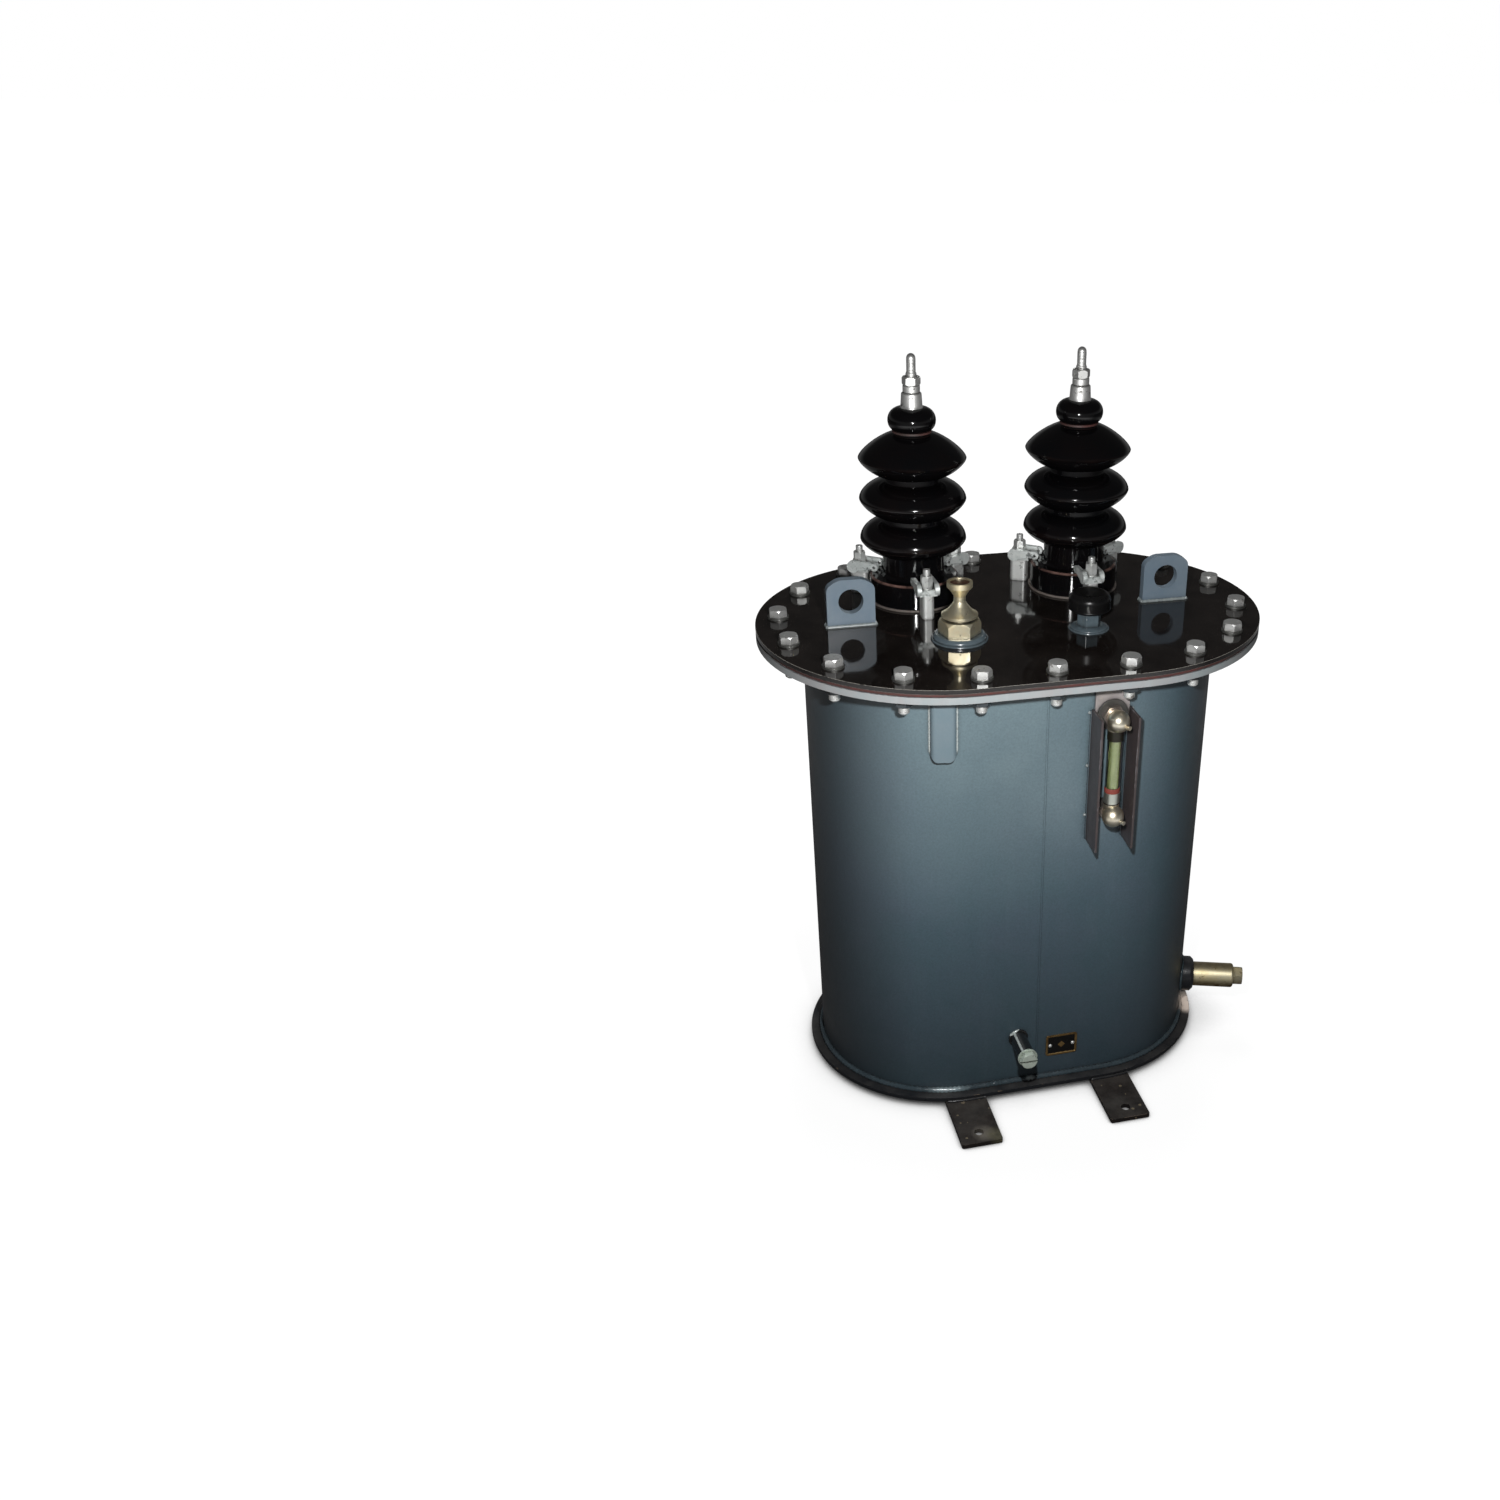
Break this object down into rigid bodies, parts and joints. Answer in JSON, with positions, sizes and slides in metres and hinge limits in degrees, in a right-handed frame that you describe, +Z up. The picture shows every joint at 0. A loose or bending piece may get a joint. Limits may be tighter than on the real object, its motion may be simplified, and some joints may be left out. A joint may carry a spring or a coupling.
{
  "type": "pole mounted transformer",
  "caption": "Small oil-filled pole mounted transformer: obround steel tank on bar feet, with a bolted lid, ribbed porcelain bushings, lifting lugs, oil gauge, vent and drain valve.",
  "frame": {"origin": "on the floor plane, midway between the fixing holes of the two feet, under the middle of the tank", "axes": "+X along the tank's long axis, towards the drain valve; -Y towards the front, with the oil gauge; +Z up"},
  "size_m": [0.6008, 0.496, 0.8425],
  "materials": {
    "tank_paint": "semi-gloss slate blue-grey paint",
    "base_paint": "dark grey paint",
    "flange_paint": "worn grey paint",
    "lid_paint": "high-gloss black-brown paint",
    "lug_paint": "blue-grey paint",
    "foot_steel": "black-brown paint with rust spots",
    "pad_paint": "pale worn paint",
    "guard_paint": "dark brown-black paint",
    "boss_steel": "dark steel",
    "gasket_rubber": "reddish-brown rubber",
    "gasket_cork": "pale cork rubber",
    "ring_rubber": "red rubber",
    "zinc": "bright zinc plate",
    "claw_casting": "bright galvanised casting",
    "tinned": "tinned brass",
    "brass": "bright brass",
    "porcelain": "black-brown glaze",
    "vent_insert": "brown insert",
    "cap_plastic": "black plastic",
    "gauge_glass": "glass tube with yellow-green oil",
    "plate_metal": "etched brass, black field"
  },
  "bodies": {
    "root": {"base_plate": "base_paint", "foot_left": "foot_steel", "foot_right": "foot_steel", "tank_wall": "tank_paint", "tank_flange": "flange_paint", "lid_gasket": "gasket_rubber", "lid": "lid_paint", "lid_bolts": "zinc", "lid_nuts": "zinc", "lug_left": "lug_paint", "lug_right": "lug_paint", "bushing_left": "porcelain", "bushing_right": "porcelain", "bushing_gaskets": "gasket_cork", "head_gaskets": "gasket_rubber", "head_left": "porcelain", "head_right": "porcelain", "terminal_left": "tinned", "terminal_right": "tinned", "terminal_nuts": "tinned", "clamp_pillars": "zinc", "clamp_claws": "claw_casting", "clamp_studs": "zinc", "clamp_nuts": "zinc", "vent_collar": "lug_paint", "vent_body": "brass", "vent_plug": "vent_insert", "filler_collar": "lug_paint", "filler_neck": "lug_paint", "filler_cap": "cap_plastic", "gauge_pad": "pad_paint", "gauge_guard": "guard_paint", "gauge_bosses": "boss_steel", "gauge_fitting_upper": "brass", "gauge_fitting_lower": "brass", "gauge_glass": "gauge_glass", "gauge_ring": "ring_rubber", "front_strap": "tank_paint", "earth_boss": "tank_paint", "earth_bolt": "zinc", "marking_plate": "plate_metal", "plate_rivets": "zinc", "drain_hub": "base_paint", "drain_valve": "brass", "drain_plug": "brass"}
  },
  "joints": []
}
